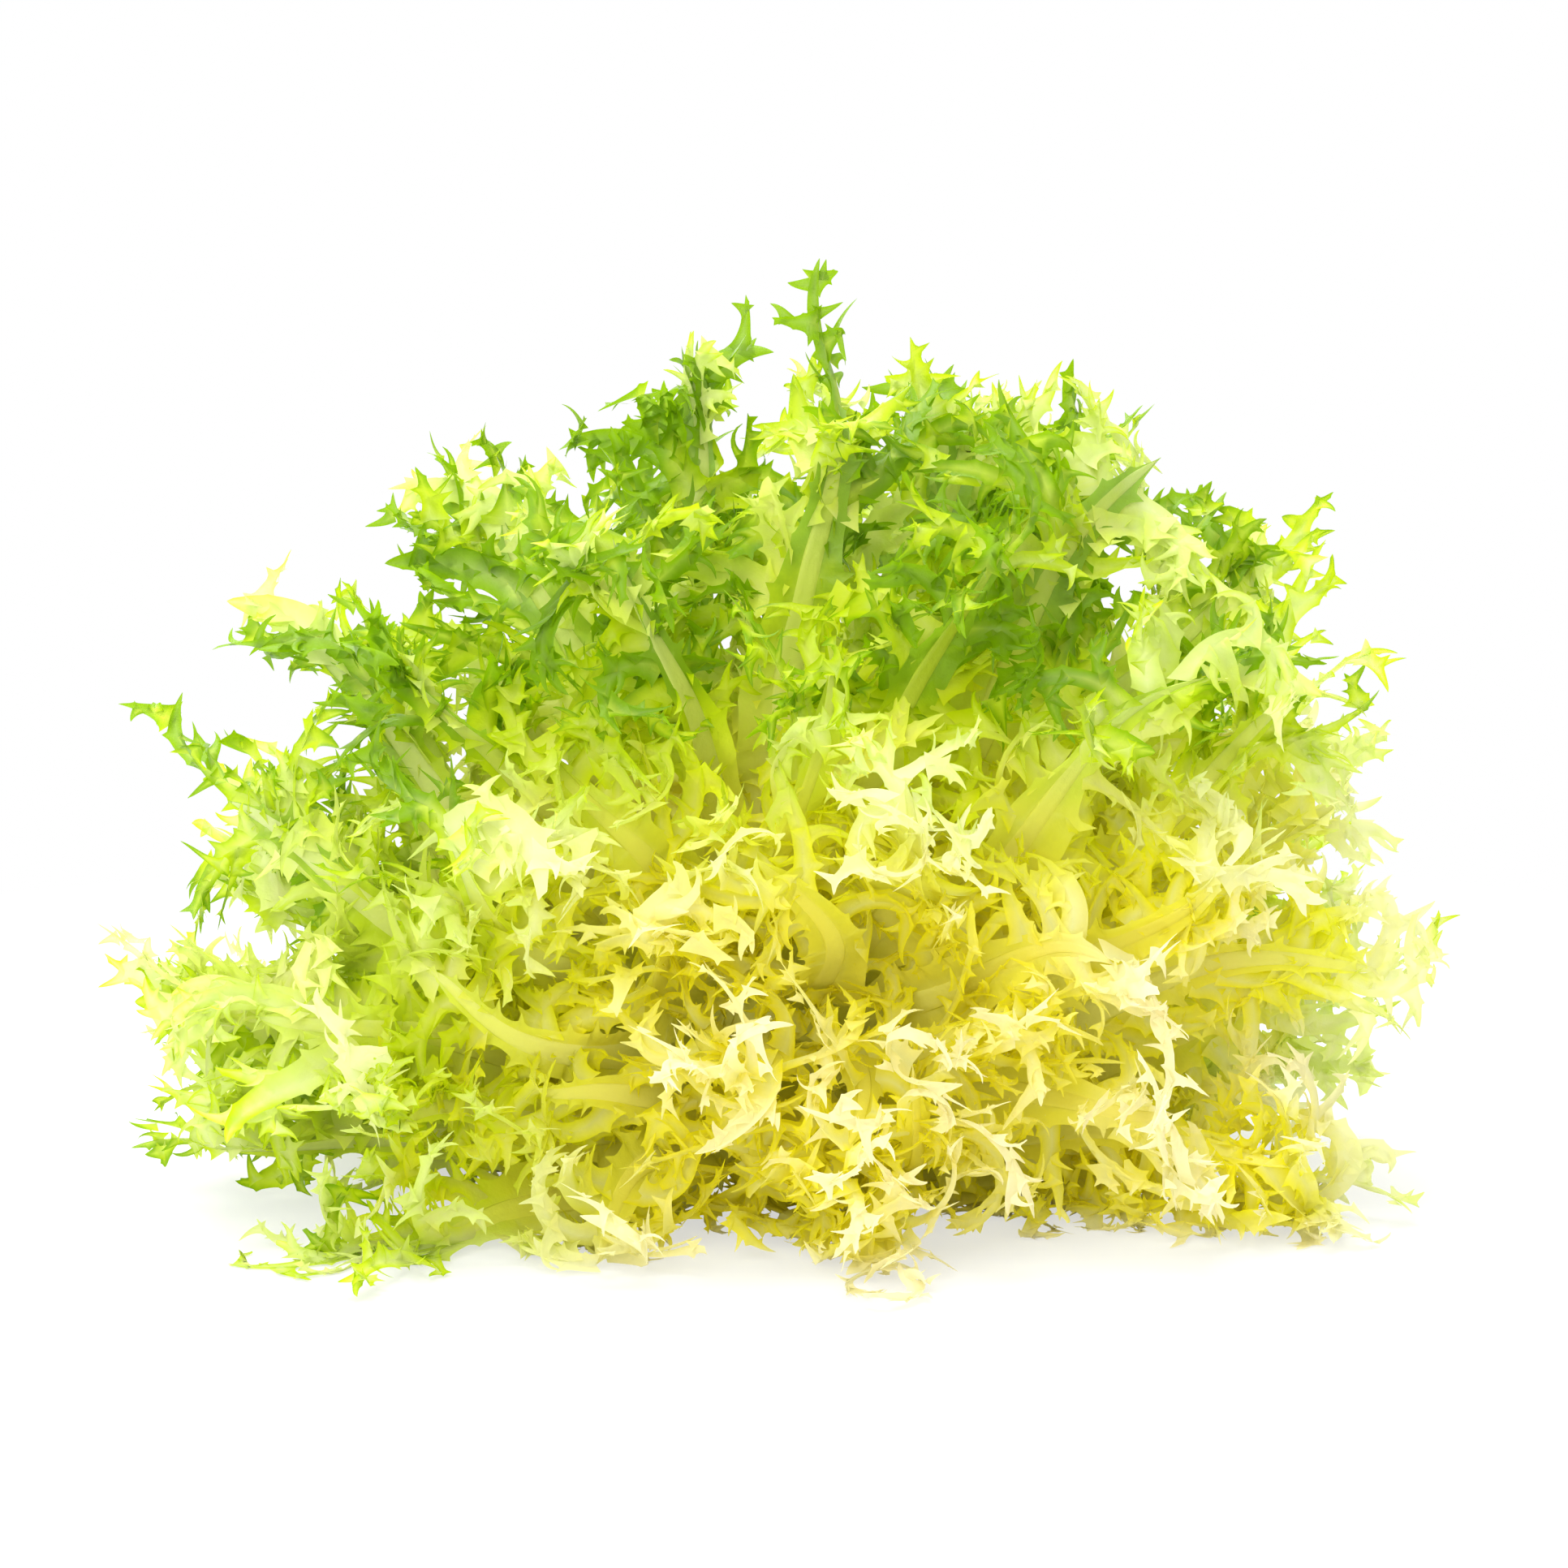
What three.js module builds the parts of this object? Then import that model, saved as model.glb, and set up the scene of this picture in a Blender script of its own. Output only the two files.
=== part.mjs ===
// Curly endive head, lying on its side on a flat surface with its heart towards the front.
// Millimetres, +Z up, -Y towards the heart. Every leaf is its own solid, and so is the core that
// carries them. The leaves leave the core on the golden angle, the youngest at the heart and the
// oldest round the cut stem. The surface presses the lower leaves outwards, and all of them run
// away from the core at every radius, so no two meet.
import * as THREE from "three";

// Core: a crown that carries the leaves, and the cut stem behind it.
const CROWN_RADIUS = 22;
const STEM_RADIUS = 14.5;
const STEM_LENGTH = 38;
const CORE_HEIGHT = 38.5;
const CORE_SIDES = 28;
const LEAF_GAP = 1.3;

// The head's axis points out of the heart: its heading from the front, and its dip below level.
const AXIS_HEADING = THREE.MathUtils.degToRad(14);
const AXIS_DIP = THREE.MathUtils.degToRad(8);

// Leaves, numbered from the heart outwards.
const LEAF_COUNT = 56;
const GOLDEN_ANGLE = Math.PI * (3 - Math.sqrt(5));
const FIRST_AZIMUTH = 2.26;
const WIDEST_POLAR = THREE.MathUtils.degToRad(103);
const WHORLS = [
  { name: "heart_leaf", from: 0, colour: 0xf1ea8c },
  { name: "inner_leaf", from: 9, colour: 0xe6ea86 },
  { name: "middle_leaf", from: 23, colour: 0xbfdc5e },
  { name: "outer_leaf", from: 39, colour: 0x86bd33 },
];

// How far a leaf reaches from the core's centre when it heads one way only. Between these it
// follows an egg-shaped outline.
const SIDE_REACH = 141;
const TOP_REACH = 157;
const FRONT_REACH = 86;
const BACK_REACH = 110;
const SHOULDER = 0.09;
const REACH_VARIATION = 6;

// How the head has settled: the height of a leaf's middle where it lies on the surface, how
// strongly the weight gathers the leaves down to it, and how they turn and open as they run out.
const LYING_HEIGHT = 2.2;
const GATHERING = 0.7;
const SWIRL = 0.03;
const OPENING = 0.17;

// A leaf's section: a rib between two wings that rise towards the heart. An underside that
// comes this near the surface lies flat on it.
const SETTLING = 1.6;
const STATIONS = 21;
const BASE_HALF_WIDTH = 3.4;
const BLADE_HALF_WIDTH = { heart: 10, outer: 19 };
const NOTCH_DEPTH = 0.5;
const LOBE_SWEEP = 5;
const RUFFLE = 2.6;
const BASE_THICKNESS = 3.6;
const TIP_THICKNESS = 1.8;
const WING_THICKNESS = 1.2;
const CUP_HEIGHT = 3;
const LATERAL_STEP = 0.02;

// A repeatable number from 0 to 1 for one leaf and one property.
function variation(leaf, property) {
  const wave = Math.sin(leaf * 12.9898 + property * 78.233) * 43758.5453;
  return wave - Math.floor(wave);
}

const axis = new THREE.Vector3(
  Math.sin(AXIS_HEADING) * Math.cos(AXIS_DIP),
  -Math.cos(AXIS_HEADING) * Math.cos(AXIS_DIP),
  -Math.sin(AXIS_DIP),
);
const right = new THREE.Vector3(0, 0, 1).cross(axis).negate().normalize();
const up = axis.clone().cross(right).negate();

// The point at this radius from the core's centre, on the way that starts at this polar angle
// from the axis and this azimuth round it. At every radius different ways keep apart.
function placeOnWay(radius, polar, azimuth) {
  const outward = (radius - CROWN_RADIUS) / TOP_REACH;
  const open = polar * (1 + OPENING * outward);
  const turned = azimuth + SWIRL * outward;
  const direction = axis
    .clone()
    .multiplyScalar(Math.cos(open))
    .addScaledVector(right, Math.sin(open) * Math.cos(turned))
    .addScaledVector(up, Math.sin(open) * Math.sin(turned));

  const floorDip = Math.atan2(CORE_HEIGHT - LYING_HEIGHT, radius - CROWN_RADIUS);
  const settled = 1 - floorDip / (Math.PI / 2);
  const height = (Math.asin(direction.z) + Math.PI / 2) / Math.PI;
  const elevation =
    -floorDip + (floorDip + Math.PI / 2) * Math.pow(height, 1 + GATHERING * settled);
  const heading = Math.atan2(direction.x, -direction.y);
  return new THREE.Vector3(
    radius * Math.cos(elevation) * Math.sin(heading),
    -radius * Math.cos(elevation) * Math.cos(heading),
    CORE_HEIGHT + radius * Math.sin(elevation),
  );
}

// Where a leaf starts, how far it reaches and how wide it grows.
function leafPlan(index) {
  const share = (index + 0.5) / LEAF_COUNT;
  const polar = Math.acos(1 - share * (1 - Math.cos(WIDEST_POLAR)));
  const azimuth = FIRST_AZIMUTH + index * GOLDEN_ANGLE;
  const tip = placeOnWay(TOP_REACH, polar, azimuth).divideScalar(TOP_REACH);
  const outline = Math.hypot(
    tip.x / SIDE_REACH,
    tip.y / (tip.y > 0 ? BACK_REACH : FRONT_REACH),
    (tip.z - CORE_HEIGHT / TOP_REACH) / TOP_REACH,
  );
  const lean = 1 + SHOULDER * tip.x * Math.max(0, tip.z);
  const reach = lean / outline + REACH_VARIATION * (2 * variation(index, 1) - 1);
  const bladeHalfWidth = THREE.MathUtils.lerp(
    BLADE_HALF_WIDTH.heart,
    BLADE_HALF_WIDTH.outer,
    share,
  );
  return { polar, azimuth, reach, bladeHalfWidth };
}

// The half width of a leaf at t, from 0 at the core to 1 at the tip: a narrow stalk, then a
// blade with notched sides.
function halfWidthAt(t, station, bladeHalfWidth) {
  const blade = Math.pow(Math.sin(Math.PI * Math.min(1, 0.12 + 0.86 * t)), 1.3);
  const grown = THREE.MathUtils.smoothstep(t, 0.1, 0.6);
  const notch = station % 2 === 0 && t > 0.2 ? 1 - NOTCH_DEPTH : 1;
  return BASE_HALF_WIDTH * (1 - 0.55 * t) + bladeHalfWidth * blade * grown * notch;
}

// One closed leaf: a ring of six points at each station, joined along the leaf and capped.
function leafGeometry(plan) {
  const rings = [];
  for (let station = 0; station < STATIONS; station += 1) {
    const t = station / (STATIONS - 1);
    const start = CROWN_RADIUS + LEAF_GAP;
    const radius = start + (plan.reach - start) * t;
    const here = placeOnWay(radius, plan.polar, plan.azimuth);
    const ahead = placeOnWay(radius + 1, plan.polar, plan.azimuth);
    const behind = placeOnWay(Math.max(CROWN_RADIUS, radius - 1), plan.polar, plan.azimuth);
    const along = ahead.sub(behind).normalize();
    const across = placeOnWay(radius, plan.polar, plan.azimuth + LATERAL_STEP).sub(
      placeOnWay(radius, plan.polar, plan.azimuth - LATERAL_STEP),
    );
    const room = across.length() / (2 * radius * Math.sin(plan.polar) * LATERAL_STEP);
    across.addScaledVector(along, -across.dot(along)).normalize();
    const inward = across.clone().cross(along);

    const halfWidth = halfWidthAt(t, station, plan.bladeHalfWidth) * Math.min(1, room);
    const rib = THREE.MathUtils.lerp(BASE_THICKNESS, TIP_THICKNESS, t) / 2;
    const wing = WING_THICKNESS / 2;
    const isLobe = station % 2 === 1;
    const sweep = isLobe ? LOBE_SWEEP * Math.sin(Math.PI * t) : 0;
    const rise = Math.min(1, room) * t;
    const leftCup = rise * (CUP_HEIGHT + RUFFLE * Math.sin(station * 2.2 + plan.azimuth));
    const rightCup = rise * (CUP_HEIGHT + RUFFLE * Math.cos(station * 2.2 + plan.azimuth));
    const section = [
      [-halfWidth, leftCup + wing, sweep],
      [0, rib, 0],
      [halfWidth, rightCup + wing, sweep],
      [halfWidth, rightCup - wing, sweep],
      [0, -rib, 0],
      [-halfWidth, leftCup - wing, sweep],
    ];
    rings.push(
      section.map(([side, lift, forward], corner) => {
        const point = here
          .clone()
          .addScaledVector(across, side)
          .addScaledVector(inward, lift)
          .addScaledVector(along, forward);
        const isUpper = inward.z >= 0 ? corner < 3 : corner >= 3;
        if (isUpper) {
          point.z = Math.max(point.z, WING_THICKNESS);
        } else if (point.z < SETTLING) {
          point.z = 0;
        }
        return point;
      }),
    );
  }
  return closedTube(rings);
}

// A closed surface through rings of equal size, capped at both ends.
function closedTube(rings) {
  const size = rings[0].length;
  const corners = rings.flat();
  const faces = [];
  for (let ring = 0; ring + 1 < rings.length; ring += 1) {
    for (let side = 0; side < size; side += 1) {
      const next = (side + 1) % size;
      const a = ring * size + side;
      const b = ring * size + next;
      faces.push(a, b, b + size, a, b + size, a + size);
    }
  }
  const last = corners.length - size;
  // The section's two halves, left and right of the rib, are each flat enough for a fan.
  for (const [i, j, k] of [
    [0, 1, 4],
    [0, 4, 5],
    [1, 2, 3],
    [1, 3, 4],
  ]) {
    faces.push(k, j, i);
    faces.push(last + i, last + j, last + k);
  }
  const geometry = new THREE.BufferGeometry().setFromPoints(corners);
  geometry.setIndex(faces);
  geometry.computeVertexNormals();
  return geometry;
}

// The crown and the cut stem, turned about the head's axis.
function coreGeometry() {
  const profile = [new THREE.Vector2(0, CROWN_RADIUS)];
  for (let angle = 18; angle <= 108; angle += 18) {
    const polar = THREE.MathUtils.degToRad(angle);
    profile.push(
      new THREE.Vector2(CROWN_RADIUS * Math.sin(polar), CROWN_RADIUS * Math.cos(polar)),
    );
  }
  profile.push(
    new THREE.Vector2(STEM_RADIUS, -CROWN_RADIUS * 0.78),
    new THREE.Vector2(STEM_RADIUS, -STEM_LENGTH),
    new THREE.Vector2(0, -STEM_LENGTH),
  );
  return new THREE.LatheGeometry(profile.reverse(), CORE_SIDES);
}

function addPiece(group, name, geometry, colour) {
  const material = new THREE.MeshStandardMaterial({ color: colour, roughness: 0.55, metalness: 0 });
  const piece = new THREE.Mesh(geometry, material);
  piece.name = name;
  group.add(piece);
  return piece;
}

const head = new THREE.Group();

const core = addPiece(head, "core", coreGeometry(), 0xeef0d2);
core.quaternion.setFromUnitVectors(new THREE.Vector3(0, 1, 0), axis);
core.position.set(0, 0, CORE_HEIGHT);

for (let index = 0; index < LEAF_COUNT; index += 1) {
  const whorl = WHORLS.findLast((candidate) => index >= candidate.from);
  const number = String(index - whorl.from + 1).padStart(2, "0");
  addPiece(head, `${whorl.name}_${number}`, leafGeometry(leafPlan(index)), whorl.colour);
}

// The origin is under the middle of the head, on the surface that it lies on.
const box = new THREE.Box3().setFromObject(head, true);
const middle = box.getCenter(new THREE.Vector3());
head.position.set(-middle.x, -middle.y, -box.min.z);

const part = new THREE.Group();
part.add(head);

export default part;
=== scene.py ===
import math

import bpy
import numpy as np
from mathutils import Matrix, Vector


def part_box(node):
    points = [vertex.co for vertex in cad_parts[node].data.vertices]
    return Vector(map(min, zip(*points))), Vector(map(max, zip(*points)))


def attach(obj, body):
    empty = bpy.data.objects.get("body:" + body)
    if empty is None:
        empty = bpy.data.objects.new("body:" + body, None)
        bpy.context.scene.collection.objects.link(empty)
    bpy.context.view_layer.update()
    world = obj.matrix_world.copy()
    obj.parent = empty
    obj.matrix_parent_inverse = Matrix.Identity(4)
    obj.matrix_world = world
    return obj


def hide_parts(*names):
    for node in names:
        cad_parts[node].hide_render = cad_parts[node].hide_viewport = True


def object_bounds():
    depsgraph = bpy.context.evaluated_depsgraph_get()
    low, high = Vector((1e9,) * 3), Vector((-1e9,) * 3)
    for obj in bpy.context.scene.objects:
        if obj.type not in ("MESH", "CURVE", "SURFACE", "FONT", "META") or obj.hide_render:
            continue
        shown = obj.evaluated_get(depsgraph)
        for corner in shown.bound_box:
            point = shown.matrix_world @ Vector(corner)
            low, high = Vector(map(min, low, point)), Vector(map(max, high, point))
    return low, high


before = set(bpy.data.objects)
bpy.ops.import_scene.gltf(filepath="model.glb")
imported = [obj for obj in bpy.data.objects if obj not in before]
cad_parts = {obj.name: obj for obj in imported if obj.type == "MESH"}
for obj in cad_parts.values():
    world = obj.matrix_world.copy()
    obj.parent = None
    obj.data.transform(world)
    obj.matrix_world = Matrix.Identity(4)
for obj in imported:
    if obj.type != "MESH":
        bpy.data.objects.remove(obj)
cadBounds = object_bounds()
millimetre = 0.001

# The head's layout, in millimetres and degrees, as the solids have it.
layout = {
    "crownRadius": 22.0,
    "coreHeight": 38.5,
    "stemRadius": 14.5,
    "stemLength": 38.0,
    "axisHeading": 14.0,
    "axisDip": 8.0,
    "leafCount": 56,
    "firstAzimuth": 2.26,
    "widestPolar": 103.0,
    "sideReach": 141.0,
    "topReach": 157.0,
    "frontReach": 86.0,
    "backReach": 110.0,
    "shoulder": 0.09,
    "reachVariation": 6.0,
    "lyingHeight": 2.2,
    "gathering": 0.7,
    "swirl": 0.03,
    "opening": 0.17,
}
# Each whorl's node name, its first leaf and its slot.
whorls = [
    ("heart_leaf", 0, "heart"),
    ("inner_leaf", 9, "inner"),
    ("middle_leaf", 23, "middle"),
    ("outer_leaf", 39, "outer"),
]
goldenAngle = math.pi * (3 - math.sqrt(5))


def unit(vectors):
    return vectors / np.maximum(np.linalg.norm(vectors, axis=-1, keepdims=True), 1e-9)


def smoothStep(values, low, high):
    share = np.clip((values - low) / (high - low), 0, 1)
    return share * share * (3 - 2 * share)


traits = {"reach": 1, "green": 3, "showing": 5}


# A number from 0 to 1 for a trait of a leaf, always the same, as in the solids.
def variation(leaf, trait):
    wave = math.sin(leaf * 12.9898 + traits[trait] * 78.233) * 43758.5453
    return wave - math.floor(wave)


heading = math.radians(layout["axisHeading"])
dip = math.radians(layout["axisDip"])
headAxis = np.array([math.sin(heading) * math.cos(dip), -math.cos(heading) * math.cos(dip), -math.sin(dip)])
headRight = unit(np.cross(headAxis, [0, 0, 1]))
headUp = -np.cross(headAxis, headRight)

# Where the core's centre stands in the frame, from the crown's right and front edges.
coreLow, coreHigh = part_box("core")
coreCentre = np.array([coreHigh.x / millimetre - layout["crownRadius"],
                       coreLow.y / millimetre + layout["crownRadius"],
                       layout["coreHeight"]])


# The point at this radius on the way that starts at this polar angle and azimuth, in
# millimetres in the frame.
def placeOnWay(radius, polar, azimuth):
    crown = layout["crownRadius"]
    beyond = np.maximum(np.asarray(radius, float), crown + 0.01)  # never on the crown itself
    outward = (beyond - crown) / layout["topReach"]
    opened = (polar * (1 + layout["opening"] * outward))[..., None]
    turned = (azimuth + layout["swirl"] * outward)[..., None]
    direction = (headAxis * np.cos(opened) + headRight * np.sin(opened) * np.cos(turned)
                 + headUp * np.sin(opened) * np.sin(turned))
    floorDip = np.arctan2(layout["coreHeight"] - layout["lyingHeight"], beyond - crown)
    settled = 1 - floorDip / (math.pi / 2)
    height = (np.arcsin(np.clip(direction[..., 2], -1, 1)) + math.pi / 2) / math.pi
    elevation = -floorDip + (floorDip + math.pi / 2) * height ** (1 + layout["gathering"] * settled)
    toSide = np.arctan2(direction[..., 0], -direction[..., 1])
    return coreCentre + np.asarray(radius, float)[..., None] * np.stack(
        [np.cos(elevation) * np.sin(toSide), -np.cos(elevation) * np.cos(toSide), np.sin(elevation)], -1)


# Where a leaf starts, which way it points and how far it reaches.
def leafPlan(index):
    share = (index + 0.5) / layout["leafCount"]
    polar = math.acos(1 - share * (1 - math.cos(math.radians(layout["widestPolar"]))))
    azimuth = layout["firstAzimuth"] + index * goldenAngle
    top = np.array([layout["topReach"]])
    tip = (placeOnWay(top, np.array([polar]), np.array([azimuth]))[0] - coreCentre) / layout["topReach"]
    deep = layout["backReach"] if tip[1] > 0 else layout["frontReach"]
    outline = math.hypot(tip[0] / layout["sideReach"], tip[1] / deep, tip[2] / layout["topReach"])
    raised = tip[2] + layout["coreHeight"] / layout["topReach"]
    lean = 1 + layout["shoulder"] * tip[0] * max(0, raised)
    reach = lean / outline + layout["reachVariation"] * (2 * variation(index, "reach") - 1)
    return {"index": index, "share": share, "polar": polar, "azimuth": azimuth, "reach": reach, "tip": tip}


# How the head rests: what would hang below the surface lies along it, and nothing stands out
# of the head's box by more than the allowance. Lengths are in millimetres.
rest = {
    "lowest": 0.35,
    "softness": 2.2,
    "allowance": 9.0,
    "clear": 3.0,  # a strap that would run out lower than this lifts off the surface
    "steepest": 0.6,  # and its heading is raised to this at most
}


def settle(points):
    low = np.array(cadBounds[0]) / millimetre - rest["allowance"]
    high = np.array(cadBounds[1]) / millimetre + rest["allowance"]
    fits = [(high - coreCentre) / np.maximum(points.max(0) - coreCentre, 1),
            ((coreCentre - low) / np.maximum(coreCentre - points.min(0), 1))[:2]]
    points = coreCentre + (points - coreCentre) * min(1, np.concatenate(fits).min())
    height = (points[:, 2] - rest["lowest"]) / rest["softness"]
    points[:, 2] = rest["lowest"] + rest["softness"] * np.logaddexp(0, height)
    return points


# Straps grown together, one per row: each starts at a point with a heading and a face, and
# bends, curls and twists as it runs out. Returns centres and the three directions.
def growStraps(start, along, face, length, steps, curl, bend, twist):
    centres = np.zeros((len(start), steps + 1, 3))
    alongs = np.zeros_like(centres)
    sides = np.zeros_like(centres)
    faces = np.zeros_like(centres)
    rising = (rest["clear"] - start[:, 2]) / np.maximum(length, 1)
    along = unit(along)
    along[:, 2] = np.maximum(along[:, 2], np.minimum(rising, rest["steepest"]))
    along = unit(along)
    face = unit(face - along * (face * along).sum(-1, keepdims=True))
    side = np.cross(along, face)
    here = start.copy()
    step = (length / steps)[:, None]
    for k in range(steps + 1):
        centres[:, k], alongs[:, k], sides[:, k], faces[:, k] = here, along, side, face
        if k == steps:
            break
        share = (k + 0.5) / steps
        curlNow = (curl[:, 0] + curl[:, 1] * share)[:, None] * step
        bendNow = (bend[:, 0] + bend[:, 1] * share)[:, None] * step
        twistNow = twist[:, None] * step
        along = unit(along + face * curlNow + side * bendNow)
        face = unit(face + side * twistNow - along * (face * along).sum(-1, keepdims=True))
        face = unit(face - along * (face * along).sum(-1, keepdims=True))
        side = np.cross(along, face)
        here = here + along * step
    return centres, alongs, sides, faces


# The surface of some straps: each side has its own half width, and its margin may run ahead
# of the middle and stand off it. The columns are shares of the half width.
def strapPoints(grown, halfWidths, ahead, lift, cup, columns=(1.0,)):
    centres, alongs, sides, faces = grown
    rows = [centres]
    for column in columns:
        for side, sign in ((0, -1), (1, 1)):
            across = sides * (sign * column * halfWidths[side])[..., None]
            forward = alongs * (column ** 2 * ahead[side])[..., None]
            raised = faces * (column ** 2 * (lift[side] + cup * halfWidths[side]))[..., None]
            rows.insert(0 if side == 0 else len(rows), centres + across + forward + raised)
    return np.stack(rows, 2)


# The spikes on a margin, spaced in stations. Between them the margin is hollow, as a web is.
spikes = {
    "closest": 6,
    "widest": 10,
    "narrowing": 1.5,
    "longest": 1.5,
    "rarity": 1.7,
    "bareEnds": 0.14,
    "fading": 0.5,
}


# Spiked margins for some straps: the extra half width, the run ahead and the lift.
def spikedMargins(rng, count, steps, size, sweep, stand):
    station = np.arange(steps + 1)
    widths, aheads, lifts = [], [], []
    spacing = rng.integers(spikes["closest"], spikes["widest"] + 1, count)[:, None]
    phase = rng.integers(0, spikes["closest"], count)[:, None]
    share = station[None] / steps
    fade = smoothStep(share, 0.0, spikes["bareEnds"]) * (1 - spikes["fading"] * share ** 2)
    fade = fade * smoothStep(1 - share, 0.0, spikes["bareEnds"])
    rows = np.arange(count)[:, None]
    for side in (0, 1):
        place = station[None] + phase + side * (spacing // 2)
        spike = place // spacing
        away = np.abs(place % spacing - spacing // 2)
        length = spikes["longest"] * rng.random((count, spike.max() + 1)) ** spikes["rarity"]
        stood = rng.normal(0, 1, (count, spike.max() + 1))
        height = np.exp(-spikes["narrowing"] * away) * length[rows, spike] * fade * size[:, None]
        widths.append(height)
        aheads.append(height * sweep)
        lifts.append(height * stood[rows, spike] * stand)
    return widths, aheads, lifts


# Collects points and faces, and the tint and the rib value that the skin reads at each point.
class Surface:
    def __init__(self):
        self.points, self.quads, self.caps, self.tints, self.ribs = [], [], [], [], []
        self.count = 0
        self.settled = None

    # Adds a block of grids, shaped (how many, stations, columns). A tube's rows close on
    # themselves, and its two ends are capped.
    def addGrids(self, points, tint, rib, tube=False):
        many, stations, columns = points.shape[:3]
        index = self.count + np.arange(many * stations * columns).reshape(many, stations, columns)
        if tube:
            self.caps += [index[0, 0, ::-1], index[0, -1]]
            index = np.concatenate([index, index[:, :, :1]], 2)
        corners = [index[:, :-1, :-1], index[:, :-1, 1:], index[:, 1:, 1:], index[:, 1:, :-1]]
        self.points.append(points.reshape(-1, 3))
        self.quads.append(np.stack(corners, -1).reshape(-1, 4))
        self.tints.append(np.broadcast_to(tint, points.shape[:3]).ravel())
        self.ribs.append(np.broadcast_to(rib, points.shape[:3]).ravel())
        self.count += many * stations * columns

    # Lays all the points down as the head rests.
    def layDown(self):
        self.settled = settle(np.concatenate(self.points))


# What a leaf has at the heart and at the outside; a leaf between them has a blend of the two.
# Lengths are in millimetres, angles in degrees, and the curls and bends of lobes, lobelets and
# spurs in radians to the millimetre.
foliage = {
    "ribHalfWidth": (3.8, 5.2),
    "ribHalfThickness": (1.5, 2.2),
    "footHalfWidth": (0.0, 7.0),
    "wingStart": (0.1, 0.0),
    "wingHalfWidth": (6.0, 8.5),
    "wingRuffle": (2.0, 3.0),
    "wingSpike": (3.0, 5.0),
    "tipCurl": (20.0, 5.0),
    "firstLobe": (0.3, 0.17),
    "twist": (30.0, 40.0),
    "sprig": (0.0, 0.1),
    "lobeSpacing": (6.5, 5.6),
    "lobeLength": (33.0, 35.0),
    "lobeHalfWidth": (1.55, 2.4),
    "lobeLean": (78.0, 58.0),
    "lobeGather": (20.0, 28.0),
    "lobeCurl": (0.066, 0.038),
    "lobeBend": (0.1, 0.045),
    "lobeSpike": (1.5, 2.7),
    "lobeletSpacing": (8.0, 9.0),
    "lobeletLength": (14.0, 16.0),
    "lobeletHalfWidth": (1.15, 1.8),
    "lobeletCurl": (0.075, 0.05),
    "lobeletBend": (0.14, 0.07),
    "lobeletSpike": (1.1, 2.1),
    "spurSpacing": (6.8, 6.2),
    "spurLength": (6.5, 9.5),
    "spurHalfWidth": (0.6, 0.85),
    "spurCurl": (0.09, 0.07),
    "spurBend": (0.17, 0.13),
    "spurSpike": (0.0, 0.0),
    "outwardTurn": (0.65, 0.45),
}
blendEnds = (0.05, 0.85)  # how far out in the head the blend starts and ends
showing = 0.7  # the leaves that vary by more than this show their ribs

# How a leaf runs along its way: it sways, hooks over at its tip and turns its face. Lengths
# are in millimetres, and places are shares of the leaf.
leafWay = {
    "firstSeed": 1000,
    "stations": 112,
    "rootDepth": 6,
    "fullReach": 0.9,
    "shorterLeft": 0.04,
    "shorterFront": 0.13,
    "shorterTop": 0.02,
    "sway": 6,
    "swayFrom": 0.2,
    "sideWaves": 5.5,
    "faceWaves": 4.7,
    "hookFrom": 0.55,
    "hookLength": 0.45,
    "hookSizes": (0.5, 1.2),
    "hookBack": 0.45,
    "turning": 1.5,
}

# Above the heart the head is hollow: the leaves that point this way stay shorter.
hollow = {"way": (-0.12, -0.76, 0.62), "depth": 0.16, "spread": 0.36}


# A leaf's middle line with its three directions, and each station's share of its length.
def leafCurve(plan, rng):
    tip = plan["tip"]
    leaning = leafWay["shorterLeft"] * min(0, tip[0]) + leafWay["shorterFront"] * min(0, tip[1])
    leaning = leaning - leafWay["shorterTop"] * max(0, tip[2])
    aside = np.linalg.norm(unit(tip) - unit(np.array(hollow["way"])))
    sunk = hollow["depth"] * math.exp(-(aside / hollow["spread"]) ** 2)
    reach = plan["reach"] * (leafWay["fullReach"] + leaning + plan["bare"] - sunk)
    stations = leafWay["stations"]
    radius = np.linspace(layout["crownRadius"] - leafWay["rootDepth"], reach, stations)
    polar = np.full(stations, plan["polar"])
    azimuth = np.full(stations, plan["azimuth"])
    centres = placeOnWay(radius, polar, azimuth)
    nearby = 0.02
    across = placeOnWay(radius, polar, azimuth + nearby) - placeOnWay(radius, polar, azimuth - nearby)
    share = np.linspace(0, 1, stations)
    alongs = unit(np.gradient(centres, axis=0))
    sides = unit(across - alongs * (across * alongs).sum(-1, keepdims=True))
    faces = np.cross(sides, alongs)
    sway = smoothStep(share, leafWay["swayFrom"], 1.0) * leafWay["sway"]
    phase = rng.uniform(0, 2 * math.pi, 3)
    hooked = (np.maximum(share - leafWay["hookFrom"], 0) / leafWay["hookLength"]) ** 2
    hook = plan["tipCurl"] * rng.uniform(*leafWay["hookSizes"]) * hooked
    toSide = sway * np.sin(share * leafWay["sideWaves"] + phase[0]) + hook * np.cos(phase[2])
    raised = sway * np.sin(share * leafWay["faceWaves"] + phase[1]) + hook * np.sin(phase[2])
    back = leafWay["hookBack"] * hook
    centres = centres + sides * toSide[:, None] + faces * raised[:, None] - alongs * back[:, None]
    alongs = unit(np.gradient(centres, axis=0))
    turn = rng.normal(0, math.radians(plan["twist"])) * share ** leafWay["turning"]
    sides = sides * np.cos(turn)[:, None] + faces * np.sin(turn)[:, None]
    sides = unit(sides - alongs * (sides * alongs).sum(-1, keepdims=True))
    faces = np.cross(sides, alongs)
    return (centres, alongs, sides, faces), share


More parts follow.
